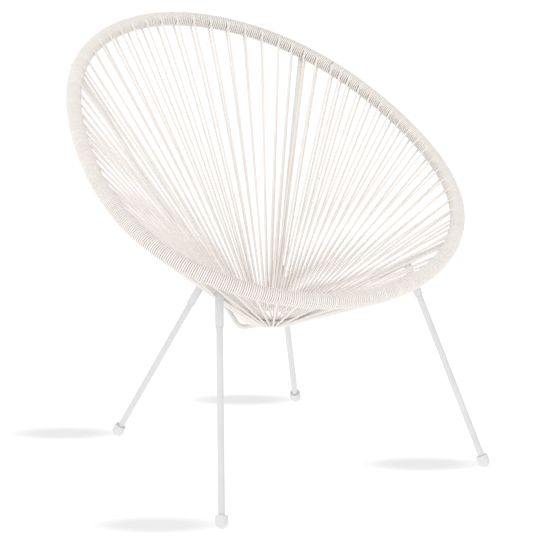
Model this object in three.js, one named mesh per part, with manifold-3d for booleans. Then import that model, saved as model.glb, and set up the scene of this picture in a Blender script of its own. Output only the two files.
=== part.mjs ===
import * as THREE from "three";
import { mergeVertices } from "three/addons/utils/BufferGeometryUtils.js";
import Module from "manifold-3d";

const wasm = await Module();
wasm.setup();

// Fits
const clearance = 0.3; // between pieces that touch
const overrun = 6; // how far a cutting body runs past what it cuts
const leastCordGap = 0.4;
const mergeTolerance = 1e-4;

// Hoop: an egg-shaped tube in a plane that leans back, wide end at the front
const hoopTilt = THREE.MathUtils.degToRad(32.5);
const hoopHeight = 612; // middle of the hoop above the floor
const hoopHalfLength = 431.5; // along the leaning plane
const hoopHalfWidth = 380;
const hoopWidthShares = [1, 0.0615, 0.013, -0.0075, -0.006]; // sine terms of the egg's half width
const hoopBow = 5; // the sides stand above the plane through front and back by twice this
const hoopTubeRadius = 11;
const hoopTubeWall = 1.2;
const hoopVentRadius = 2.5; // bored through the wall under the winding, so the tube isn't sealed
const hoopVentSides = 12;
const hoopSteps = 80;
const hoopSides = 8;

// Cord
const cordRadius = 1.75;
const cordSides = 5;
const wrapSteps = 4; // steps of the half turn round the rim or the ring

// Rim winding, one sleeve on the hoop whose ends meet at a joint
const windingJointStep = 28; // of the hoop's steps, counted from the front over the right side
const windingInner = hoopTubeRadius + clearance;
const windingThickness = 4.2;
const windingOuter = hoopTubeRadius + windingThickness;
const windingJointGap = 0.4;

// Base ring that the seat cords run round
const ringRadius = 55;
const ringRodRadius = 5;
const ringAdvance = 49; // middle of the ring before the hoop's, along -Y
const ringHeight = 281.5;
const ringTilt = THREE.MathUtils.degToRad(3);
const ringSteps = 36;
const ringSides = 8;

// Seat cords: loops, and turns of cord along the rim from each to the next, round from the front
const loopTurnShares = [[6, 9], [2, 10], [17, 8], [2, 6], [1, 10], [3, 8], [14, 10], [22, 8], [2, 10], [6, 9]];
const loopCount = loopTurnShares.reduce((sum, [loops]) => sum + loops, 0);
const turnCount = loopTurnShares.reduce((sum, [loops, turns]) => sum + loops * turns, 0);
const frontTurnCount = 2.4; // turns from the hoop's front to the first loop
const cordCount = 12;

// Struts: the front pair runs from the hoop to the ring between the two layers of cord, the back
// one is a bent rod behind them, from one side of the hoop's back under the ring to the other
const strutRadius = 5;
const strutSides = 10;
const strutTurnCount = 78; // turns of cord between the hoop's middle and each strut, front and back
const frontStrutAngle = THREE.MathUtils.degToRad(70); // round the ring from its front
const backStrutOverhang = 9; // past its contact with the hoop
const backCornerSpread = 42; // from the middle plane to where the back rod's straight runs would turn in
const backCornerHeight = 250.5;
const backBendRadius = 20;
const backBendStep = THREE.MathUtils.degToRad(12);
const copeSteps = 2; // hoop steps either side of a strut's coped end

// Legs, sockets and foot caps
const legRadius = 6;
const legSides = 16;
const frontFootSpread = 300; // from the middle plane
const frontFootReach = 363; // before the hoop's middle
const backFootSpread = 221;
const backFootReach = 196; // behind the hoop's middle
const frontJointRun = 103; // along the strut from the hoop's centreline
const backJointRun = 492.5; // along the strut from its contact with the hoop
const socketWall = 1.5;
const socketRadius = legRadius + clearance + socketWall;
const socketLength = 68;
const socketSaddle = 2.5; // from the strut's axis down to the socket's top
const socketBore = 50;
const socketSides = 20;
const capRadius = 11.5;
const capTop = 12.5; // flat top above the ball's middle
const capChamfer = 1;
const capBore = 13;
const capSeat = 10.6; // the ball's middle above the floor, so the ball is cut flat there
const capSides = 20;
const capArcSteps = 6;

const fullTurn = 2 * Math.PI;
const quarterTurn = Math.PI / 2;
const xAxis = new THREE.Vector3(1, 0, 0);
const yAxis = new THREE.Vector3(0, 1, 0);

const cordLook = new THREE.MeshStandardMaterial({ color: 0xeee4de, roughness: 0.55, metalness: 0 });
const steelLook = new THREE.MeshStandardMaterial({ color: 0xdededf, roughness: 0.4, metalness: 0.1 });
const capLook = new THREE.MeshStandardMaterial({ color: 0xe4e4e4, roughness: 0.5, metalness: 0 });

class HoopCurve extends THREE.Curve {
  getPoint(t) {
    const angle = fullTurn * t;
    const along = -hoopHalfLength * Math.cos(angle);
    const half = hoopWidthShares.reduce((sum, share, i) => sum + share * Math.sin((i + 1) * angle), 0);
    const above = hoopBow * (1 - Math.cos(2 * angle));
    return new THREE.Vector3(
      hoopHalfWidth * half,
      along * Math.cos(hoopTilt) - above * Math.sin(hoopTilt),
      hoopHeight + along * Math.sin(hoopTilt) + above * Math.cos(hoopTilt),
    );
  }
}

const hoopCurve = new HoopCurve();
hoopCurve.arcLengthDivisions = 1440;
const hoopUp = new THREE.Vector3(0, -Math.sin(hoopTilt), Math.cos(hoopTilt));
const ringUp = new THREE.Vector3(0, -Math.sin(ringTilt), Math.cos(ringTilt));

const shareOfHoop = (share) => ((share % 1) + 1) % 1;
const hoopPoint = (share) => hoopCurve.getPointAt(shareOfHoop(share));
const hoopTangent = (share) => hoopCurve.getTangentAt(shareOfHoop(share));

function ringPoint(angle) {
  const back = -ringRadius * Math.cos(angle);
  return new THREE.Vector3(
    ringRadius * Math.sin(angle),
    back * Math.cos(ringTilt) - ringAdvance,
    ringHeight + back * Math.sin(ringTilt),
  );
}

function ringTangent(angle) {
  const back = Math.sin(angle);
  return new THREE.Vector3(Math.cos(angle), back * Math.cos(ringTilt), back * Math.sin(ringTilt));
}

// A section of a round bar, counterclockwise seen against its run
function section(centre, first, second, radius, sides) {
  return Array.from({ length: sides }, (_, i) => {
    const angle = (fullTurn * (i + 1 / 2)) / sides;
    return centre
      .clone()
      .addScaledVector(first, radius * Math.cos(angle))
      .addScaledVector(second, radius * Math.sin(angle));
  });
}

function geometryOf(corners) {
  const flat = corners.flatMap((p) => [p.x, p.y, p.z]);
  const geometry = new THREE.BufferGeometry();
  geometry.setAttribute("position", new THREE.Float32BufferAttribute(flat, 3));
  geometry.computeVertexNormals();
  return geometry;
}

function skin(rings, turned = false) {
  const corners = [];
  for (let i = 0; i + 1 < rings.length; i++) {
    rings[i].forEach((a, j) => {
      const next = (j + 1) % rings[i].length;
      const quad = [a, rings[i][next], rings[i + 1][next], rings[i + 1][j]];
      if (turned) quad.reverse();
      corners.push(quad[0], quad[1], quad[2], quad[0], quad[2], quad[3]);
    });
  }
  return corners;
}

function lid(ring, turned) {
  const corners = [];
  for (let j = 1; j + 1 < ring.length; j++) {
    corners.push(ring[0], ...(turned ? [ring[j + 1], ring[j]] : [ring[j], ring[j + 1]]));
  }
  return corners;
}

const bar = (rings) => geometryOf([...skin(rings), ...lid(rings[0], true), ...lid(rings.at(-1), false)]);

function sleeve(outer, inner) {
  const ends = [...skin([inner[0], outer[0]]), ...skin([outer.at(-1), inner.at(-1)])];
  return geometryOf([...skin(outer), ...skin(inner, true), ...ends]);
}

// A round bar along points, its sections in the planes that halve each bend
function barAlong(points, radius, sides) {
  const run = (i) => points[i + 1].clone().sub(points[i]).normalize();
  const last = points.length - 1;
  let side = new THREE.Vector3().crossVectors(run(0), Math.abs(run(0).x) > 1 / 2 ? yAxis : xAxis);
  const rings = points.map((point, i) => {
    const before = run(Math.max(i - 1, 0));
    const tangent = run(Math.min(i, last - 1)).add(before).normalize();
    side = side.addScaledVector(tangent, -side.dot(tangent)).normalize();
    return section(point, side, new THREE.Vector3().crossVectors(tangent, side), radius, sides);
  });
  return bar(rings);
}

// Turns a +Y geometry along the direction given and moves its origin to the place given
function placed(geometry, at, along) {
  const turn = new THREE.Quaternion().setFromUnitVectors(yAxis, along);
  return geometry.applyMatrix4(new THREE.Matrix4().compose(at, turn, new THREE.Vector3(1, 1, 1)));
}

function rodBetween(from, to, radius, sides) {
  const rod = new THREE.CylinderGeometry(radius, radius, from.distanceTo(to), sides);
  return placed(rod, from.clone().lerp(to, 1 / 2), to.clone().sub(from).normalize());
}

function solidOf(geometry) {
  const bare = geometry.index ? geometry.toNonIndexed() : geometry.clone();
  bare.deleteAttribute("normal");
  bare.deleteAttribute("uv");
  const merged = mergeVertices(bare, mergeTolerance);
  return new wasm.Manifold(
    new wasm.Mesh({
      numProp: 3,
      vertProperties: new Float32Array(merged.getAttribute("position").array),
      triVerts: new Uint32Array(merged.index.array),
    }),
  );
}

function geometryFrom(solid) {
  const cut = solid.getMesh();
  const geometry = new THREE.BufferGeometry();
  geometry.setAttribute("position", new THREE.Float32BufferAttribute(cut.vertProperties, 3));
  geometry.setIndex(new THREE.BufferAttribute(new Uint32Array(cut.triVerts), 1));
  geometry.computeVertexNormals();
  return geometry;
}

const without = (geometry, cutters) =>
  geometryFrom(cutters.reduce((body, cutter) => body.subtract(solidOf(cutter)), solidOf(geometry)));

function namedMesh(name, geometry, look) {
  const mesh = new THREE.Mesh(geometry, look);
  mesh.name = name;
  return mesh;
}

function hoopSection(share, radius) {
  const tangent = hoopTangent(share);
  const first = hoopUp.clone().addScaledVector(tangent, -hoopUp.dot(tangent)).normalize();
  const second = new THREE.Vector3().crossVectors(tangent, first);
  return section(hoopPoint(share), first, second, radius, hoopSides);
}

function hoopTube() {
  const around = (radius) => {
    const rings = Array.from({ length: hoopSteps }, (_, i) => hoopSection(i / hoopSteps, radius));
    return [...rings, rings[0]];
  };
  const bore = skin(around(hoopTubeRadius - hoopTubeWall), true);
  const outside = hoopPoint(0).addScaledVector(hoopUp, -(hoopTubeRadius + overrun));
  const vent = rodBetween(hoopPoint(0), outside, hoopVentRadius, hoopVentSides);
  return without(geometryOf([...skin(around(hoopTubeRadius)), ...bore]), [vent]);
}

function ringOf(rodRadius) {
  const ring = new THREE.TorusGeometry(ringRadius, rodRadius, ringSides, ringSteps);
  return ring.rotateX(ringTilt).translate(0, -ringAdvance, ringHeight);
}

// Seat cords: each loop runs from under the ring to the back of the rim, over it and down again
// above the first run, then through the ring to the next loop.
const ringAngleOf = (loop) => (fullTurn * loop) / loopCount;

function hoopShareOf(loop) {
  let left = ((loop % loopCount) + loopCount) % loopCount;
  let turned = frontTurnCount;
  for (const [loops, turns] of loopTurnShares) {
    const passed = Math.min(left, loops);
    turned += passed * turns;
    left -= passed;
  }
  return turned / turnCount;
}

function webFrame(loop) {
  const rim = hoopPoint(hoopShareOf(loop));
  const ring = ringPoint(ringAngleOf(loop));
  const fall = ring.clone().sub(rim);
  const across = (tangent) => fall.clone().addScaledVector(tangent, -fall.dot(tangent)).normalize();
  const rimTangent = hoopTangent(hoopShareOf(loop));
  const bottomTangent = ringTangent(ringAngleOf(loop));
  const rimDown = across(rimTangent);
  const ringDown = across(bottomTangent);
  return {
    rim,
    ring,
    rimDown,
    ringDown,
    rimUp: new THREE.Vector3().crossVectors(rimTangent, rimDown),
    ringUp: new THREE.Vector3().crossVectors(bottomTangent, ringDown),
  };
}

// Half a turn round a rod of the given radius, on the side that "far" points to
function halfWrap(centre, start, far, rodRadius) {
  const reach = (rodRadius + clearance + cordRadius) / Math.cos(Math.PI / wrapSteps / 2);
  return Array.from({ length: wrapSteps + 1 }, (_, i) => {
    const angle = (Math.PI * i) / wrapSteps;
    return centre
      .clone()
      .addScaledVector(start, reach * Math.cos(angle))
      .addScaledVector(far, reach * Math.sin(angle));
  });
}

function ringWrap(loop) {
  const frame = webFrame(loop);
  return halfWrap(frame.ring, frame.ringUp, frame.ringDown, ringRodRadius);
}

function rimWrap(loop) {
  const frame = webFrame(loop);
  return halfWrap(frame.rim, frame.rimUp.negate(), frame.rimDown.negate(), windingOuter);
}

// Where the straight run between two points would dig into a strut or a socket, it bends round it
function bendsRound(from, to) {
  const run = to.clone().sub(from);
  const bends = [];
  for (const { start, end, radius } of cordObstacles()) {
    const rod = end.clone().sub(start);
    const between = from.clone().sub(start);
    const normal = new THREE.Vector3().crossVectors(run, rod);
    const spread = normal.length();
    normal.normalize();
    const alongRun = -between.clone().cross(rod).dot(normal) / spread;
    const alongRod = -between.clone().cross(run).dot(normal) / spread;
    const offset = between.dot(normal);
    const rest = radius + cordRadius + clearance;
    const meets = [alongRun, alongRod].every((share) => share > 0 && share < 1);
    if (!meets || Math.abs(offset) >= rest) continue;
    const point = from.clone().addScaledVector(run, alongRun);
    bends.push({ alongRun, point: point.addScaledVector(normal, Math.sign(offset) * rest - offset) });
  }
  return bends.sort((a, b) => a.alongRun - b.alongRun).map((bend) => bend.point);
}

function seatCordPoints(first, next) {
  const points = [];
  for (let loop = first; loop < next; loop++) {
    const below = ringWrap(loop - 1 / 2).at(-1);
    const rimPart = rimWrap(loop);
    const ringPart = ringWrap(loop + 1 / 2);
    if (loop === first) {
      const up = rimPart[0].clone().sub(below).normalize();
      points.push(below.clone().addScaledVector(up, cordRadius + clearance));
    }
    points.push(...bendsRound(below, rimPart[0]), ...rimPart);
    points.push(...bendsRound(rimPart.at(-1), ringPart[0]), ...ringPart);
  }
  return points;
}

// The least gap between runs of one cord that aren't neighbours, from points along it
function leastGap(points) {
  const spots = [];
  points.forEach((point, i) => {
    if (i === 0) return;
    const length = point.distanceTo(points[i - 1]);
    const pieces = Math.max(1, Math.round(length / cordRadius));
    for (let k = 0; k < pieces; k++) {
      spots.push({ at: points[i - 1].clone().lerp(point, k / pieces), span: i });
    }
  });
  let least = Infinity;
  spots.forEach((a, i) => {
    for (let j = i + 1; j < spots.length; j++) {
      if (spots[j].span - a.span <= wrapSteps) continue;
      least = Math.min(least, a.at.distanceTo(spots[j].at));
    }
  });
  return least - 2 * cordRadius;
}

// Struts
function frontStrutLine(side) {
  const top = hoopPoint((side * strutTurnCount) / turnCount);
  const end = ringPoint(side * frontStrutAngle);
  return { top, down: end.clone().sub(top).normalize(), end, joint: frontJointRun };
}

function backStrutLine(side) {
  const share = 1 / 2 - (side * strutTurnCount) / turnCount;
  const end = new THREE.Vector3(side * backCornerSpread, 0, backCornerHeight);
  const hoop = hoopPoint(share);
  const outward = new THREE.Vector3().crossVectors(hoopTangent(share), end.clone().sub(hoop)).normalize();
  if (outward.z > 0) outward.negate();
  const top = hoop.addScaledVector(outward, hoopTubeRadius + strutRadius + clearance);
  return { top, down: end.clone().sub(top).normalize(), end, joint: backJointRun };
}

const strutLine = (front, side) => (front ? frontStrutLine(side) : backStrutLine(side));

// A stretch of the hoop, grown by the clearance, that copes a strut's end
function hoopStretch(share) {
  const middle = Math.round(share * hoopSteps);
  const steps = Array.from({ length: 2 * copeSteps + 1 }, (_, i) => middle - copeSteps + i);
  return bar(steps.map((step) => hoopSection(step / hoopSteps, hoopTubeRadius + clearance)));
}

function frontStrut(side) {
  const { top, end } = frontStrutLine(side);
  const rod = rodBetween(top, end, strutRadius, strutSides);
  return without(rod, [hoopStretch((side * strutTurnCount) / turnCount), ringOf(ringRodRadius + clearance)]);
}

function backStrutHalf(side) {
  const { top, down, end } = backStrutLine(side);
  const inward = new THREE.Vector3(-side, 0, 0);
  const turn = Math.acos(down.dot(inward));
  const start = end.clone().addScaledVector(down, -backBendRadius * Math.tan(turn / 2));
  const toCentre = inward.clone().addScaledVector(down, -inward.dot(down)).normalize();
  const centre = start.clone().addScaledVector(toCentre, backBendRadius);
  const steps = Math.ceil(turn / backBendStep);
  const bend = Array.from({ length: steps + 1 }, (_, i) => {
    const angle = (turn * i) / steps;
    return centre
      .clone()
      .addScaledVector(toCentre, -backBendRadius * Math.cos(angle))
      .addScaledVector(down, backBendRadius * Math.sin(angle));
  });
  return [top.addScaledVector(down, -backStrutOverhang), ...bend];
}

function backStrut() {
  return barAlong([...backStrutHalf(-1), ...backStrutHalf(1).reverse()], strutRadius, strutSides);
}

// A strut's straight run, grown by the clearance, that cuts what lies round it
function strutCutter(front, side) {
  const { top, down, end } = strutLine(front, side);
  const from = top.clone().addScaledVector(down, front ? 0 : -(backStrutOverhang + clearance));
  return rodBetween(from, end, (strutRadius + clearance) / Math.cos(Math.PI / strutSides), strutSides);
}

function rimWinding() {
  const trim = (windingJointGap / 2 / hoopCurve.getLength()) * hoopSteps;
  const layer = (radius) => {
    const rings = Array.from({ length: hoopSteps + 1 }, (_, i) =>
      hoopSection((windingJointStep + i) / hoopSteps, radius),
    );
    const pulled = (ring, next) => ring.map((corner, j) => corner.clone().lerp(next[j], trim));
    return [pulled(rings[0], rings[1]), ...rings.slice(1, -1), pulled(rings.at(-1), rings.at(-2))];
  };
  const cutters = [true, false].flatMap((front) => [1, -1].map((side) => strutCutter(front, side)));
  return without(sleeve(layer(windingOuter), layer(windingInner)), cutters);
}

// Legs
function legLine(front, side) {
  const strut = strutLine(front, side);
  const joint = strut.top.clone().addScaledVector(strut.down, strut.joint);
  const ground = front
    ? new THREE.Vector3(side * frontFootSpread, -frontFootReach, capSeat)
    : new THREE.Vector3(side * backFootSpread, backFootReach, capSeat);
  return { joint, ground, down: ground.clone().sub(joint).normalize() };
}

// What the seat cords have to pass: the front struts and the sockets
function cordObstacles() {
  return [1, -1].flatMap((side) => {
    const { top, end } = frontStrutLine(side);
    const sockets = [true, false].map((front) => {
      const { joint, down } = legLine(front, side);
      return { start: joint, end: joint.clone().addScaledVector(down, socketLength), radius: socketRadius };
    });
    return [{ start: top, end, radius: strutRadius }, ...sockets];
  });
}

function lathe(profile, sides) {
  const points = profile.map(([radius, height]) => new THREE.Vector2(radius, height));
  return new THREE.LatheGeometry(points, sides);
}

function socket(front, side) {
  const { joint, down } = legLine(front, side);
  const bore = legRadius + clearance;
  const blind = socketLength - socketBore;
  const profile = [
    [0, 0],
    [socketRadius, 0],
    [socketRadius, socketLength],
    [bore, socketLength],
    [bore, blind],
    [0, blind],
  ];
  const cup = placed(lathe(profile, socketSides), joint.clone().addScaledVector(down, socketSaddle), down);
  return without(cup, [strutCutter(front, side)]);
}

function leg(front, side) {
  const { joint, ground, down } = legLine(front, side);
  const seat = socketSaddle + socketLength - socketBore + clearance;
  const top = joint.clone().addScaledVector(down, seat);
  const foot = ground.clone().addScaledVector(down, capBore - capTop - clearance);
  return rodBetween(top, foot, legRadius, legSides);
}

function footCap(front, side) {
  const { ground, down } = legLine(front, side);
  const bore = legRadius + clearance;
  const ball = Array.from({ length: capArcSteps + 1 }, (_, i) => {
    const angle = quarterTurn * (1 - i / capArcSteps);
    return [capRadius * Math.cos(angle), -capRadius * Math.sin(angle)];
  });
  const profile = [
    ...ball,
    [capRadius, capTop - capChamfer],
    [capRadius - capChamfer, capTop],
    [bore, capTop],
    [bore, capTop - capBore],
    [0, capTop - capBore],
  ];
  const cap = placed(lathe(profile, capSides), ground, down.clone().negate());
  const floor = new THREE.BoxGeometry(4 * capRadius, 4 * capRadius, overrun);
  floor.translate(ground.x, ground.y, -overrun / 2);
  return without(cap, [floor]);
}

const chair = new THREE.Group();
chair.add(namedMesh("hoop_tube", hoopTube(), steelLook));
chair.add(namedMesh("base_ring", ringOf(ringRodRadius), steelLook));
chair.add(namedMesh("rim_winding", rimWinding(), cordLook));
chair.add(namedMesh("back_strut", backStrut(), steelLook));

for (const front of [true, false]) {
  for (const side of [-1, 1]) {
    const place = `${front ? "front" : "back"}_${side < 0 ? "left" : "right"}`;
    if (front) chair.add(namedMesh(`${place}_strut`, frontStrut(side), steelLook));
    chair.add(namedMesh(`${place}_leg_socket`, socket(front, side), steelLook));
    chair.add(namedMesh(`${place}_leg`, leg(front, side), steelLook));
    chair.add(namedMesh(`${place}_foot_cap`, footCap(front, side), capLook));
  }
}

let tightest = Infinity;
for (let cord = 0; cord < cordCount; cord++) {
  const [first, next] = [cord, cord + 1].map((count) => Math.round((count * loopCount) / cordCount));
  const points = seatCordPoints(first, next);
  tightest = Math.min(tightest, leastGap(points));
  const name = `seat_cord_${String(cord + 1).padStart(2, "0")}`;
  chair.add(namedMesh(name, barAlong(points, cordRadius, cordSides), cordLook));
}
console.log(`least gap of a seat cord to itself: ${tightest.toFixed(2)} mm, over ${leastCordGap} wanted`);

export default chair;
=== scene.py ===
import bisect
import math
import random

import bmesh
import bpy
from mathutils import Matrix, Vector
from mathutils.kdtree import KDTree


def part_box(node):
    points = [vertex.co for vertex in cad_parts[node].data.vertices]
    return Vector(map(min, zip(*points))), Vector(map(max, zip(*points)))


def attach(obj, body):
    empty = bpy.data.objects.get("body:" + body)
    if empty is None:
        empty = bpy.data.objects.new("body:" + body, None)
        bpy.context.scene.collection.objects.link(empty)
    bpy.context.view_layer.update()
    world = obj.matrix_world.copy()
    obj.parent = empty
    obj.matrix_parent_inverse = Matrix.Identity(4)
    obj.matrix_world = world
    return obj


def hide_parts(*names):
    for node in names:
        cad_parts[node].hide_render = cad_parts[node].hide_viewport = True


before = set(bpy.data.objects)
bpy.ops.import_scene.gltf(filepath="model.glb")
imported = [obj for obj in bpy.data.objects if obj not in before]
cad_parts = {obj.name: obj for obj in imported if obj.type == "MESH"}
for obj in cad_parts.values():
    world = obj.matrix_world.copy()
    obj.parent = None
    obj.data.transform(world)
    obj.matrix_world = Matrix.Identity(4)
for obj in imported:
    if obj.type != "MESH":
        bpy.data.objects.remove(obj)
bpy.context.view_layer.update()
scene = bpy.context.scene
random.seed(7)
print("frame loaded,", len(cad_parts), "nodes")

# Camera, floor and light
camera = {
    "place": (-1.653, -2.670, 1.075),
    "turn": (math.radians(77.07), 0, math.radians(-32.42)),
    "lens": 104.727,
    "sensor": 36,
    "reach": 1000,
}
studio = {
    "floorSize": 400,
    "floorColor": 0.35,
    "floorGlow": 0.76,
    "floorRoughness": 0.9,
    "skySide": (-0.62, -0.30, -0.72),
    "skyBright": 1.26,
    "skyDim": 0.70,
    "keyPlace": (-1.6, -1.2, 3.6),
    "keySize": 2.6,
    "keyPower": 19,
    "fillPlace": (0.3, -3.3, 0.5),
    "fillSize": 1.6,
    "fillPower": 8,
    "aim": (0, 0, 0.4),
}
# Painted shadow: a long soft shade is painted on the floor beside each foot, even within its core
shade = {
    "turn": math.radians(-32.4),
    "offset": (-0.117, 0.012),
    "halfSize": (0.164, 0.057),
    "core": 0.30,
    "depth": 0.225,
}


def addNode(tree, kind, inputs=None, **props):
    node = tree.nodes.new(kind)
    for key, value in props.items():
        setattr(node, key, value)
    for key, value in (inputs or {}).items():
        if isinstance(value, bpy.types.NodeSocket):
            tree.links.new(value, node.inputs[key])
        else:
            node.inputs[key].default_value = value
    return node


def newMaterial(name):
    material = bpy.data.materials.new(name)
    material.use_nodes = True
    tree = material.node_tree
    return material, tree, tree.nodes["Principled BSDF"]


def makeCamera():
    data = bpy.data.cameras.new("photoCamera")
    data.lens = camera["lens"]
    data.sensor_width = camera["sensor"]
    data.clip_end = camera["reach"]
    eye = bpy.data.objects.new("photoCamera", data)
    eye.location = camera["place"]
    eye.rotation_euler = camera["turn"]
    scene.collection.objects.link(eye)
    scene.camera = eye


def areaLight(name, place, size, power):
    data = bpy.data.lights.new(name, "AREA")
    data.size = size
    data.energy = power
    lamp = bpy.data.objects.new(name, data)
    lamp.location = place
    view = Vector(studio["aim"]) - Vector(place)
    lamp.rotation_euler = view.to_track_quat("-Z", "Y").to_euler()
    scene.collection.objects.link(lamp)


# The sky is palest low at the left
def makeSky():
    world = bpy.data.worlds.new("studio")
    world.use_nodes = True
    tree = world.node_tree
    way = addNode(tree, "ShaderNodeVectorMath", {
        0: addNode(tree, "ShaderNodeTexCoord").outputs["Generated"], 1: studio["skySide"],
    }, operation="DOT_PRODUCT")
    light = addNode(tree, "ShaderNodeMapRange", {
        "Value": way.outputs["Value"], "From Min": -1.0, "From Max": 1.0,
        "To Min": studio["skyDim"], "To Max": studio["skyBright"],
    })
    tree.links.new(light.outputs["Result"], tree.nodes["Background"].inputs["Strength"])
    tree.nodes["Background"].inputs["Color"].default_value = (1, 1, 1, 1)
    scene.world = world


def makeFloorPaint():
    material, tree, shader = newMaterial("paleFloor")
    place = addNode(tree, "ShaderNodeTexCoord").outputs["Object"]
    # Painted shadow: each foot's soft patch darkens the floor's colour and glow
    light = 1
    offset = Matrix.Rotation(shade["turn"], 3, "Z") @ Vector((*shade["offset"], 0))
    for foot in ("front_left", "front_right", "back_left", "back_right"):
        low, high = (Vector(corner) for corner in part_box(foot + "_foot_cap"))
        middle = (low + high) / 2 + offset
        near = addNode(tree, "ShaderNodeMapping", {
            "Vector": place, "Location": (middle.x, middle.y, 0),
            "Rotation": (0, 0, shade["turn"]), "Scale": (*shade["halfSize"], 1),
        }, vector_type="TEXTURE")
        away = addNode(
            tree, "ShaderNodeVectorMath", {0: near.outputs["Vector"]}, operation="LENGTH"
        )
        paintedShadow = addNode(tree, "ShaderNodeMapRange", {
            "Value": away.outputs["Value"], "From Min": shade["core"],
            "To Min": 1 - shade["depth"], "To Max": 1,
        }, interpolation_type="SMOOTHSTEP").outputs["Result"]
        light = addNode(
            tree, "ShaderNodeMath", {0: light, 1: paintedShadow}, operation="MULTIPLY"
        ).outputs["Value"]
    for name, key in (("Base Color", "floorColor"), ("Emission Color", "floorGlow")):
        tint = addNode(
            tree, "ShaderNodeVectorMath", {0: (studio[key],) * 3, "Scale": light},
            operation="SCALE",
        )
        tree.links.new(tint.outputs["Vector"], shader.inputs[name])
    shader.inputs["Emission Strength"].default_value = 1
    shader.inputs["Roughness"].default_value = studio["floorRoughness"]
    shader.inputs["Specular IOR Level"].default_value = 0.0
    return material


def makeStudio():
    makeSky()
    areaLight("keySoftbox", studio["keyPlace"], studio["keySize"], studio["keyPower"])
    areaLight("frontFill", studio["fillPlace"], studio["fillSize"], studio["fillPower"])
    bm = bmesh.new()
    bmesh.ops.create_grid(bm, x_segments=1, y_segments=1, size=studio["floorSize"] / 2)
    floor = meshObject("floor", bm, makeFloorPaint())
    floor.visible_diffuse = False
    scene.view_settings.view_transform = "Standard"


# Mesh helpers
mergeDistance = 1e-6
sharpAngle = math.radians(50)


def meshObject(name, bm, material):
    for face in bm.faces:
        face.smooth = True
    mesh = bpy.data.meshes.new(name)
    bm.to_mesh(mesh)
    bm.free()
    mesh.materials.append(material)
    piece = bpy.data.objects.new(name, mesh)
    scene.collection.objects.link(piece)
    return piece


def closeUp(bm):
    bmesh.ops.remove_doubles(bm, verts=bm.verts, dist=mergeDistance)
    bmesh.ops.recalc_face_normals(bm, faces=bm.faces)


def fit(piece, slot, *nodes):
    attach(piece, "root")
    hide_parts(*nodes)
    return piece


# Turns and moves what lies along Z from the origin on to a line from place along direction
def toLine(place, direction):
    turn = Vector((0, 0, 1)).rotation_difference(direction).to_matrix().to_4x4()
    return Matrix.Translation(place) @ turn


def smooth(share):
    share = min(max(share, 0), 1)
    return share * share * (3 - 2 * share)


def across(vector, tangent):
    return (vector - tangent * vector.dot(tangent)).normalized()


# A closed tube through points, as a mesh
def tubeAlong(bm, points, radius, resolution):
    curve = bpy.data.curves.new("path", "CURVE")
    curve.dimensions = "3D"
    curve.bevel_depth = radius
    curve.bevel_resolution = resolution
    curve.use_fill_caps = True
    spline = curve.splines.new("POLY")
    spline.points.add(len(points) - 1)
    spline.points.foreach_set("co", [x for p in points for x in (*p, 1)])
    holder = bpy.data.objects.new("path", curve)
    scene.collection.objects.link(holder)
    graph = bpy.context.evaluated_depsgraph_get()
    tube = bpy.data.meshes.new_from_object(holder.evaluated_get(graph))
    bpy.data.objects.remove(holder)
    bpy.data.curves.remove(curve)
    bm.from_mesh(tube)
    bpy.data.meshes.remove(tube)


# All that a mesh holds, spun round Z
def spinRound(bm, steps):
    bmesh.ops.spin(
        bm, geom=bm.verts[:] + bm.edges[:], cent=(0, 0, 0), axis=(0, 0, 1), angle=2 * math.pi,
        steps=steps, use_merge=True, use_duplicate=False,
    )


# A profile of (radius, height) spun round a line from start along direction
def spunProfile(profile, start, direction, steps):
    bm = bmesh.new()
    verts = [bm.verts.new((radius, 0, height)) for radius, height in profile]
    for pair in zip(verts, verts[1:]):
        bm.edges.new(pair)
    spinRound(bm, steps)
    bmesh.ops.transform(bm, matrix=toLine(start, direction), verts=bm.verts)
    closeUp(bm)
    return bm


# A round rod bent to a ring
def spunRing(radius, rodRadius, sides, steps, matrix):
    bm = bmesh.new()
    section = bmesh.ops.create_circle(bm, segments=sides, radius=rodRadius)["verts"]
    bmesh.ops.rotate(bm, verts=section, matrix=Matrix.Rotation(math.pi / 2, 3, "X"))
    bmesh.ops.translate(bm, verts=section, vec=(radius, 0, 0))
    spinRound(bm, steps)
    closeUp(bm)
    bmesh.ops.transform(bm, matrix=matrix, verts=bm.verts)
    return bm


# A round rod from one point to another
def rod(bm, start, end, radius, sides):
    run = end - start
    bmesh.ops.create_cone(
        bm, cap_ends=True, segments=sides, radius1=radius, radius2=radius, depth=run.length,
        matrix=toLine((start + end) / 2, run.normalized()),
    )


def flatEnds(piece):
    piece.data.set_sharp_from_angle(angle=sharpAngle)
    return piece


def nodeName(place, part):
    words = "".join("_" + c.lower() if c.isupper() else c for c in place)
    return f"{words}_{part}"


# Materials
grain = {
    "patchDetail": 3.0,
    "fineDetail": 2.0,
    "shadeRange": (0.7, 1.3),
    "roughRange": (0.3, 0.7),
    "bumpHeight": 0.0004,
}
cordFinish = {
    "light": (0.90, 0.855, 0.82),
    "shade": (0.85, 0.80, 0.76),
    "takesPaintedShade": True,
    "patchScale": 22,
    "streakScale": 340,
    "roughness": (0.42, 0.56),
    "bumpScale": 900,
    "bump": 0.12,
}
framePaint = {
    "light": (0.82, 0.79, 0.76),
    "shade": (0.76, 0.73, 0.70),
    "patchScale": 30,
    "streakScale": 500,
    "roughness": (0.34, 0.46),
    "bumpScale": 1300,
    "bump": 0.08,
}
legPaint = {
    "light": (0.720, 0.723, 0.732),
    "shade": (0.660, 0.663, 0.672),
    "patchScale": 24,
    "streakScale": 500,
    "roughness": (0.32, 0.44),
    "bumpScale": 1300,
    "bump": 0.08,
}
capPlastic = {
    "light": (0.75, 0.75, 0.75),
    "shade": (0.68, 0.68, 0.68),
    "patchScale": 120,
    "streakScale": 700,
    "roughness": (0.40, 0.55),
    "bumpScale": 1600,
    "bump": 0.1,
}


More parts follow.
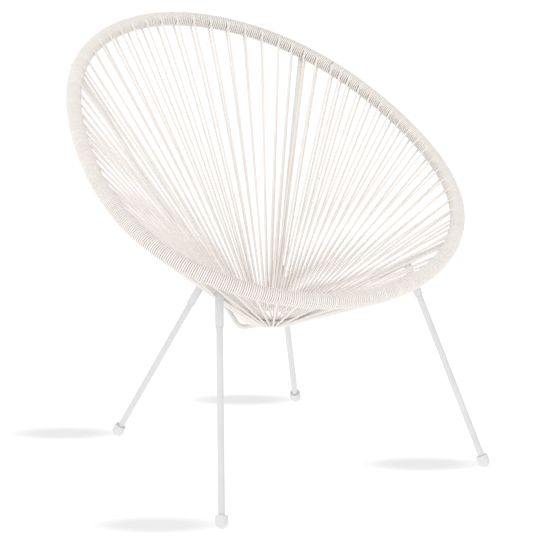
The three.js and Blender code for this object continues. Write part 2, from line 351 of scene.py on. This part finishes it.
def finishOf(name, look):
    material, tree, shader = newMaterial(name)
    place = addNode(tree, "ShaderNodeTexCoord").outputs["Object"]

    def noise(scale, detail):
        inputs = {"Vector": place, "Scale": look[scale], "Detail": grain[detail]}
        return addNode(tree, "ShaderNodeTexNoise", inputs).outputs["Fac"]

    fine = noise("streakScale", "fineDetail")
    both = addNode(
        tree, "ShaderNodeMath", {0: noise("patchScale", "patchDetail"), 1: fine}, operation="ADD"
    )
    share = addNode(tree, "ShaderNodeMapRange", {
        "Value": both.outputs["Value"],
        "From Min": grain["shadeRange"][0], "From Max": grain["shadeRange"][1],
    })
    paint = addNode(tree, "ShaderNodeMixRGB", {
        "Fac": share.outputs["Result"],
        "Color1": (*look["light"], 1), "Color2": (*look["shade"], 1),
    }).outputs["Color"]
    # Painted shade: the colour is darkened by the mesh's painted-shade attribute
    if look.get("takesPaintedShade"):
        dull = addNode(tree, "ShaderNodeAttribute", attribute_name="dull").outputs["Fac"]
        left = addNode(tree, "ShaderNodeMath", {0: 1, 1: dull}, operation="SUBTRACT")
        paint = addNode(
            tree, "ShaderNodeVectorMath", {0: paint, "Scale": left.outputs["Value"]},
            operation="SCALE",
        ).outputs["Vector"]
    tree.links.new(paint, shader.inputs["Base Color"])
    rough = addNode(tree, "ShaderNodeMapRange", {
        "Value": fine, "From Min": grain["roughRange"][0], "From Max": grain["roughRange"][1],
        "To Min": look["roughness"][0], "To Max": look["roughness"][1],
    })
    tree.links.new(rough.outputs["Result"], shader.inputs["Roughness"])
    bump = addNode(tree, "ShaderNodeBump", {
        "Height": noise("bumpScale", "fineDetail"), "Strength": look["bump"],
        "Distance": grain["bumpHeight"],
    })
    tree.links.new(bump.outputs["Normal"], shader.inputs["Normal"])
    return material


makeCamera()
makeStudio()
vinyl = finishOf("cordVinyl", cordFinish)
beigePaint = finishOf("frameBeigePaint", framePaint)
greyPaint = finishOf("legGreyPaint", legPaint)
plastic = finishOf("capGreyPlastic", capPlastic)
print("studio and materials ready")

# Hoop: an egg-shaped tube in a plane that leans back. Its run is measured from the front over the
# right side
hoop = {
    "tilt": math.radians(32.5),
    "height": 0.612,
    "halfLength": 0.4315,
    "halfWidth": 0.380,
    "widthShares": (1, 0.0615, 0.013, -0.0075, -0.006),
    "bow": 0.005,
    "tubeRadius": 0.011,
    "marks": 1440,
}


def hoopAt(turn):
    angle = 2 * math.pi * turn
    along = -hoop["halfLength"] * math.cos(angle)
    half = sum(share * math.sin((i + 1) * angle) for i, share in enumerate(hoop["widthShares"]))
    above = hoop["bow"] * (1 - math.cos(2 * angle))
    cosTilt, sinTilt = math.cos(hoop["tilt"]), math.sin(hoop["tilt"])
    return Vector((
        hoop["halfWidth"] * half,
        along * cosTilt - above * sinTilt,
        hoop["height"] + along * sinTilt + above * cosTilt,
    ))


# The runs along the hoop up to each of its marks
def hoopMarks():
    run, marks = 0, [0]
    for i in range(hoop["marks"]):
        run += (hoopAt((i + 1) / hoop["marks"]) - hoopAt(i / hoop["marks"])).length
        marks.append(run)
    return marks


hoopRuns = hoopMarks()
hoopLength = hoopRuns[-1]


# The turn that lies a share of the whole run along
def hoopTurn(share):
    run = (share % 1) * hoopLength
    i = min(bisect.bisect_right(hoopRuns, run), hoop["marks"]) - 1
    return (i + (run - hoopRuns[i]) / (hoopRuns[i + 1] - hoopRuns[i])) / hoop["marks"]


def hoopPoint(share):
    return hoopAt(hoopTurn(share))


def hoopTangent(share):
    turn, step = hoopTurn(share), 1 / hoop["marks"]
    return (hoopAt(turn + step) - hoopAt(turn - step)).normalized()


# Carried over: the hoop's tube, all but hidden under the winding
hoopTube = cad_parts["hoop_tube"]
hoopTube.data.materials.clear()
hoopTube.data.materials.append(beigePaint)

# Base ring
ring = {
    "radius": 0.055,
    "rodRadius": 0.005,
    "advance": 0.049,
    "height": 0.2815,
    "tilt": math.radians(3),
    "rodSides": 20,
    "steps": 96,
}


def ringPoint(angle):
    back = -ring["radius"] * math.cos(angle)
    return Vector((
        ring["radius"] * math.sin(angle),
        back * math.cos(ring["tilt"]) - ring["advance"],
        ring["height"] + back * math.sin(ring["tilt"]),
    ))


def ringTangent(angle):
    back = math.sin(angle)
    return Vector((math.cos(angle), back * math.cos(ring["tilt"]), back * math.sin(ring["tilt"])))


def makeRing():
    centre = Matrix.Translation((0, -ring["advance"], ring["height"]))
    bm = spunRing(
        ring["radius"], ring["rodRadius"], ring["rodSides"], ring["steps"],
        centre @ Matrix.Rotation(ring["tilt"], 4, "X"),
    )
    fit(meshObject("baseRing", bm, beigePaint), "frame", "base_ring")
    print("base ring")


# Cords: one is wound round the hoop, turn against turn. Places along the rim are counted in its
# turns, and every eighth or so is left for a loop of a seat cord, so that the rim stays even
web = {
    # Loops, and the places from each to the next
    "gaps": (
        (6, 9), (2, 10), (17, 8), (2, 6), (1, 10), (3, 8), (14, 10), (22, 8), (2, 10), (6, 9),
    ),
    "start": 2.4,  # turns from the hoop's front to the first loop
    "pieces": 12,
    "cordRadius": 0.00195,
    "gap": 0.0001,
    "wrapSteps": 16,
    "ringSteps": 10,
    "runSteps": 5,
    "resolution": 2,
    "runJitter": 0.0006,
    "jitterLength": 0.5,  # a run this long sways by the whole jitter
    "ringLean": 0.3,
    "paintedShadeShare": 0.45,
}
winding = {
    "jointPlace": 223,
    "jointGap": 0.32,  # between the two ends, in turns
    "closing": 0.22,  # share of the inner side over which the turns close up beside a loop
    "tuck": 0.10,
    "tuckDepth": 0.0032,
    "cordRadius": 0.00195,
    "gap": 0.0001,
    "stepsPerTurn": 14,
    "resolution": 1,
    "fade": 0.004,
    # From which cosine on the vinyl is darkened with painted shade, and by how much at most
    "grooveShade": (0.4, 0.10),
    "inner": (-0.2, 0.06),
}
windingRadius = hoop["tubeRadius"] + winding["gap"] + winding["cordRadius"]
loopPlaces = [0]
for loops, gap in web["gaps"]:
    loopPlaces += [loopPlaces[-1] + gap * (i + 1) for i in range(loops)]
places = loopPlaces.pop()
loopCount = len(loopPlaces)
ownPlaces = sorted(set(range(places)) - set(loopPlaces))


# To find the rim's nearest mark, with the ways along the rim and in to the web there
def mapRim():
    tree, ways = KDTree(hoop["marks"]), []
    for i in range(hoop["marks"]):
        share = i / hoop["marks"]
        rim, along = hoopPoint(share), hoopTangent(share)
        tree.insert(rim, i)
        ways.append((along, across(ringPoint(2 * math.pi * share) - rim, along)))
    tree.balance()
    return tree, ways


rimTree, rimWays = mapRim()


def ringAngle(loop):
    return 2 * math.pi * loop / loopCount


# A loop's place along the rim. Half numbers lie between two loops
def placeOf(loop):
    whole = math.floor(loop)
    near, far = (
        loopPlaces[i % loopCount] + i // loopCount * places for i in (whole, whole + 1)
    )
    return near + (far - near) * (loop - whole)


# At a place on the rim: its point, its run, and the ways away from and up from the web
def rimFrame(place):
    share = (place + web["start"]) / places
    rim, along = hoopPoint(share), hoopTangent(share)
    out = -across(ringPoint(2 * math.pi * share) - rim, along)
    return rim, along, out, out.cross(along)


def paintedShadeAmount(cosine, first, most):
    return most * smooth((cosine - first) / (1 - first))


# Painted shade: on the rim the vinyl's colour is darkened down between the turns, and on the side
# that faces the seat, where shade falls. The loops there have a share of this painted shade
def paintShade(bm, share=1):
    bm.normal_update()
    dull = bm.verts.layers.float.new("dull")
    for vert in bm.verts:
        spot, number, away = rimTree.find(vert.co)
        run, inward = rimWays[number]
        onRim = 1 - smooth((away - windingRadius - winding["cordRadius"]) / winding["fade"])
        between = paintedShadeAmount(abs(vert.normal.dot(run)), *winding["grooveShade"])
        within = paintedShadeAmount((vert.co - spot).dot(inward) / away, *winding["inner"])
        vert[dull] = share * onRim * (between + within)


# The place along the rim that the winding has reached after some turns. On the inner side, half of
# each turn, the loops have left the rim, so its turns spread out there and the last one before a
# loop steps over its place
def placeAfter(turns):
    whole = math.floor(turns)
    part = turns - whole
    lap, number = divmod(whole, len(ownPlaces))
    place = ownPlaces[number]
    loop = bisect.bisect_right(loopPlaces, place)
    start, own = loopPlaces[loop - 1], (loopPlaces + [places])[loop] - loopPlaces[loop - 1] - 1
    inner = min(max((part - 1 / 4) * 2, 0), 1)
    spread = ((place - start) / own - 1 / 2) * smooth(min(inner, 1 - inner) / winding["closing"])
    return lap * places + place + part + (smooth(inner) if place - start == own else spread)


def windingPoints():
    first = ownPlaces.index(winding["jointPlace"])
    count = int((len(ownPlaces) - winding["jointGap"]) * winding["stepsPerTurn"])
    points = []
    for i in range(count + 1):
        done = i / winding["stepsPerTurn"]
        turn = first + winding["jointGap"] + done
        rim, _, out, up = rimFrame(placeAfter(turn))
        nearEnd = min(done, count / winding["stepsPerTurn"] - done)
        radius = windingRadius - winding["tuckDepth"] * (1 - smooth(nearEnd / winding["tuck"]))
        angle = 2 * math.pi * turn
        points.append(rim + (out * math.cos(angle) + up * math.sin(angle)) * radius)
    return points


def makeWinding():
    bm = bmesh.new()
    tubeAlong(bm, windingPoints(), winding["cordRadius"], winding["resolution"])
    closeUp(bm)
    paintShade(bm)
    piece = fit(meshObject("rimWinding", bm, vinyl), "cord", "rim_winding")
    print("rim winding,", len(piece.data.polygons), "faces")


# Struts and legs, as lines
strut = {
    "radius": 0.005,
    "turnsOff": 78,  # from the hoop's middle, front and back, in turns of the winding
    "frontAngle": math.radians(70),
    "backOverhang": 0.009,
    "backCorner": (0.042, 0, 0.2505),
    "backBendRadius": 0.020,
    "bendSteps": 14,
    "backResolution": 6,
    "sides": 24,
    "hoopGap": 0.0005,
    "backHoopGap": 0.0003,
    "ringReach": 0.6,  # its end's distance from the middle of the ring's rod, in rod radii
    "beadRadius": 0.0016,
    "beadLift": 0.0004,
    "beadSides": 10,
    "beadSteps": 24,
}
leg = {
    "radius": 0.006,
    "frontFoot": (0.300, -0.363),
    "backFoot": (0.221, 0.196),
    "frontJointRun": 0.103,
    "backJointRun": 0.4925,
    "endGap": 0.0003,
    "sides": 32,
}
socket = {
    "outer": 0.0078,
    "bore": 0.0063,
    "length": 0.068,
    "saddle": 0.0025,  # from the strut's axis down to its top
    "depth": 0.050,
    "lip": 0.0005,
    "steps": 40,
}
cap = {
    "ball": 0.0115,
    "top": 0.0125,
    "edge": 0.0012,
    "bore": 0.0063,
    "chamfer": 0.0004,
    "depth": 0.013,
    "seat": 0.0106,  # the ball's middle above the floor
    "steps": 40,
    "ballSteps": 14,
    "edgeSteps": 5,
}


def strutLine(front, side):
    if front:
        top = hoopPoint(side * strut["turnsOff"] / places)
        end = ringPoint(side * strut["frontAngle"])
        return top, end, leg["frontJointRun"]
    share = 1 / 2 - side * strut["turnsOff"] / places
    end = Vector((side * strut["backCorner"][0], *strut["backCorner"][1:]))
    middle = hoopPoint(share)
    outward = hoopTangent(share).cross(end - middle).normalized()
    if outward.z > 0:
        outward.negate()
    top = middle + outward * (hoop["tubeRadius"] + strut["radius"] + strut["backHoopGap"])
    return top, end, leg["backJointRun"]


def legLine(front, side):
    top, end, run = strutLine(front, side)
    foot = leg["frontFoot"] if front else leg["backFoot"]
    joint = top + (end - top).normalized() * run
    ground = Vector((side * foot[0], foot[1], cap["seat"]))
    return joint, ground, (ground - joint).normalized()


# Seat web: each loop runs up behind the rim, over it and down again to the ring, then round the
# ring to the next loop
def slopeOf(run, along):
    lean = run.normalized().dot(along)
    return lean / math.sqrt(1 - lean * lean)


# Half a turn in the cord's own place on the rim, level with the winding
def rimWrap(loop):
    points = []
    for i in range(web["wrapSteps"] + 1):
        angle = math.pi * (i / web["wrapSteps"] - 1 / 2)
        rim, _, out, up = rimFrame(placeOf(loop) + angle / (2 * math.pi))
        points.append(rim + (out * math.cos(angle) + up * math.sin(angle)) * windingRadius)
    return points


# Half a turn round the ring's rod, which leans at each end towards the run that meets it
def ringWrap(loop):
    spot, along = ringPoint(ringAngle(loop)), ringTangent(ringAngle(loop))
    before, here, after = (rimFrame(placeOf(loop + shift))[0] for shift in (-1 / 2, 0, 1 / 2))
    down = across(spot - here, along)
    up = along.cross(down)
    arrives, leaves = slopeOf(spot - before, along), slopeOf(after - spot, along)
    radius = ring["rodRadius"] + web["gap"] + web["cordRadius"]
    points = []
    for i in range(web["ringSteps"] + 1):
        angle = math.pi * (i / web["ringSteps"] - 1 / 2)
        slope = leaves if angle > 0 else -arrives
        slip = web["ringLean"] * radius * slope * angle * angle / math.pi
        turned = down * math.cos(angle) - up * math.sin(angle)
        points.append(spot + turned * radius + along * slip)
    return points


# The rods between the two layers of the web: start, end and radius
def obstacles():
    found = []
    for side in (1, -1):
        top, end, _ = strutLine(True, side)
        found.append((top, end, strut["radius"]))
        for front in (True, False):
            joint, _, down = legLine(front, side)
            found.append((joint, joint + down * socket["length"], socket["outer"]))
    return found


cordObstacles = obstacles()


# Where a straight run would dig into a strut or a socket, it bends round it
def bendsRound(start, end):
    run = end - start
    bends = []
    for barStart, barEnd, radius in cordObstacles:
        bar = barEnd - barStart
        between = start - barStart
        normal = run.cross(bar)
        spread = normal.length
        normal.normalize()
        alongRun = -between.cross(bar).dot(normal) / spread
        alongBar = -between.cross(run).dot(normal) / spread
        offset = between.dot(normal)
        rest = radius + web["cordRadius"] + web["gap"]
        if not (0 < alongRun < 1 and 0 < alongBar < 1) or abs(offset) >= rest:
            continue
        clear = math.copysign(rest, offset) - offset
        bends.append((alongRun, start + run * alongRun + normal * clear))
    return [point for _, point in sorted(bends, key=lambda bend: bend[0])]


# The straight run between two wraps, with a cord's slight unevenness
def runBetween(start, end):
    stops = [start, *bendsRound(start, end), end]
    sway = Vector([random.uniform(-1, 1) * web["runJitter"] for _ in range(3)])
    points = []
    for a, b in zip(stops, stops[1:]):
        for i in range(web["runSteps"]):
            share = i / web["runSteps"]
            swing = math.sin(math.pi * share) * (b - a).length / web["jitterLength"]
            points.append(a.lerp(b, share) + sway * swing)
    return points[1:]


def cordPoints(first, end):
    points = []
    for loop in range(first, end):
        below = ringWrap(loop - 1 / 2)[-1]
        rimPart, ringPart = rimWrap(loop), ringWrap(loop + 1 / 2)
        if loop == first:
            points.append(below + (rimPart[0] - below).normalized() * web["cordRadius"])
        points += runBetween(below, rimPart[0]) + rimPart
        points += runBetween(rimPart[-1], ringPart[0]) + ringPart
    return points


def makeWeb():
    limits = [
        math.floor(number * loopCount / web["pieces"] + 1 / 2)
        for number in range(web["pieces"] + 1)
    ]
    for number, (first, end) in enumerate(zip(limits, limits[1:]), 1):
        bm = bmesh.new()
        tubeAlong(bm, cordPoints(first, end), web["cordRadius"], web["resolution"])
        closeUp(bm)
        paintShade(bm, web["paintedShadeShare"])
        piece = meshObject(f"seatCord{number:02d}", bm, vinyl)
        fit(piece, "cord", f"seat_cord_{number:02d}")
    print("seat web")


# A bead of weld metal round a front strut, where it meets the ring
def weldBead(bm, place, direction):
    bead = spunRing(
        strut["radius"], strut["beadRadius"], strut["beadSides"], strut["beadSteps"],
        toLine(place, direction),
    )
    mesh = bpy.data.meshes.new("bead")
    bead.to_mesh(mesh)
    bead.free()
    bm.from_mesh(mesh)
    bpy.data.meshes.remove(mesh)


def makeFrontStrut(side, place):
    top, end, _ = strutLine(True, side)
    down = (end - top).normalized()
    bm = bmesh.new()
    start = top + down * (hoop["tubeRadius"] + strut["hoopGap"])
    stop = end - down * (ring["rodRadius"] * strut["ringReach"])
    rod(bm, start, stop, strut["radius"], strut["sides"])
    weldBead(bm, end - down * (ring["rodRadius"] + strut["beadLift"]), down)
    piece = flatEnds(meshObject(f"{place}Strut", bm, beigePaint))
    fit(piece, "frame", nodeName(place, "strut"))


def backStrutHalf(side):
    top, end, _ = strutLine(False, side)
    down = (end - top).normalized()
    inward = Vector((-side, 0, 0))
    turn = math.acos(down.dot(inward))
    radius = strut["backBendRadius"]
    start = end - down * (radius * math.tan(turn / 2))
    toCentre = across(inward, down)
    centre = start + toCentre * radius
    points = [top - down * strut["backOverhang"], top.lerp(start, 1 / 2)]
    for i in range(strut["bendSteps"] + 1):
        angle = turn * i / strut["bendSteps"]
        points.append(centre + (down * math.sin(angle) - toCentre * math.cos(angle)) * radius)
    return points


def makeBackStrut():
    bm = bmesh.new()
    points = backStrutHalf(-1) + backStrutHalf(1)[::-1]
    tubeAlong(bm, points, strut["radius"], strut["backResolution"])
    closeUp(bm)
    fit(flatEnds(meshObject("backStrut", bm, beigePaint)), "frame", "back_strut")


def makeSocket(front, side, place):
    joint, _, down = legLine(front, side)
    length, outer, bore, lip = (socket[key] for key in ("length", "outer", "bore", "lip"))
    profile = [
        (0, 0), (outer - lip, 0), (outer, lip), (outer, length - lip), (outer - lip, length),
        (bore + lip / 2, length), (bore, length - lip / 2), (bore, length - socket["depth"]),
        (0, length - socket["depth"]),
    ]
    bm = spunProfile(profile, joint + down * socket["saddle"], down, socket["steps"])
    piece = flatEnds(meshObject(f"{place}Socket", bm, greyPaint))
    fit(piece, "legs", nodeName(place, "leg_socket"))


def makeLeg(front, side, place):
    joint, ground, down = legLine(front, side)
    boreEnd = socket["saddle"] + socket["length"] - socket["depth"]
    start = joint + down * (boreEnd + leg["endGap"])
    stop = ground + down * (cap["depth"] - cap["top"] - leg["endGap"])
    bm = bmesh.new()
    rod(bm, start, stop, leg["radius"], leg["sides"])
    closeUp(bm)
    fit(flatEnds(meshObject(f"{place}Leg", bm, greyPaint)), "legs", nodeName(place, "leg"))


# Sines and cosines of the angles from 0 to a quarter turn
def quarterTurn(steps):
    angles = [math.pi / 2 * i / steps for i in range(steps + 1)]
    return [(math.sin(angle), math.cos(angle)) for angle in angles]


# The ball is cut flat where it stands on the floor
def makeCap(front, side, place):
    _, ground, down = legLine(front, side)
    ball, top, edge = cap["ball"], cap["top"], cap["edge"]
    bore, chamfer, end = cap["bore"], cap["chamfer"], top - cap["depth"]
    profile = [
        *((ball * sine, -ball * cosine) for sine, cosine in quarterTurn(cap["ballSteps"])),
        *((ball - edge + edge * cosine, top - edge + edge * sine)
          for sine, cosine in quarterTurn(cap["edgeSteps"])),
        (bore + chamfer, top), (bore, top - chamfer), (bore, end), (0, end),
    ]
    bm = spunProfile(profile, ground, -down, cap["steps"])
    cut = bmesh.ops.bisect_plane(
        bm, geom=bm.verts[:] + bm.edges[:] + bm.faces[:], plane_co=(0, 0, 0),
        plane_no=(0, 0, -1), clear_outer=True,
    )
    rim = [item for item in cut["geom_cut"] if isinstance(item, bmesh.types.BMEdge)]
    bmesh.ops.contextual_create(bm, geom=rim)
    closeUp(bm)
    piece = flatEnds(meshObject(f"{place}FootCap", bm, plastic))
    fit(piece, "feet", nodeName(place, "foot_cap"))


makeWinding()
makeRing()
makeWeb()
makeBackStrut()
for front in (True, False):
    for side in (-1, 1):
        place = ("front" if front else "back") + ("Left" if side < 0 else "Right")
        if front:
            makeFrontStrut(side, place)
        makeSocket(front, side, place)
        makeLeg(front, side, place)
        makeCap(front, side, place)
print("struts, sockets, legs and feet")
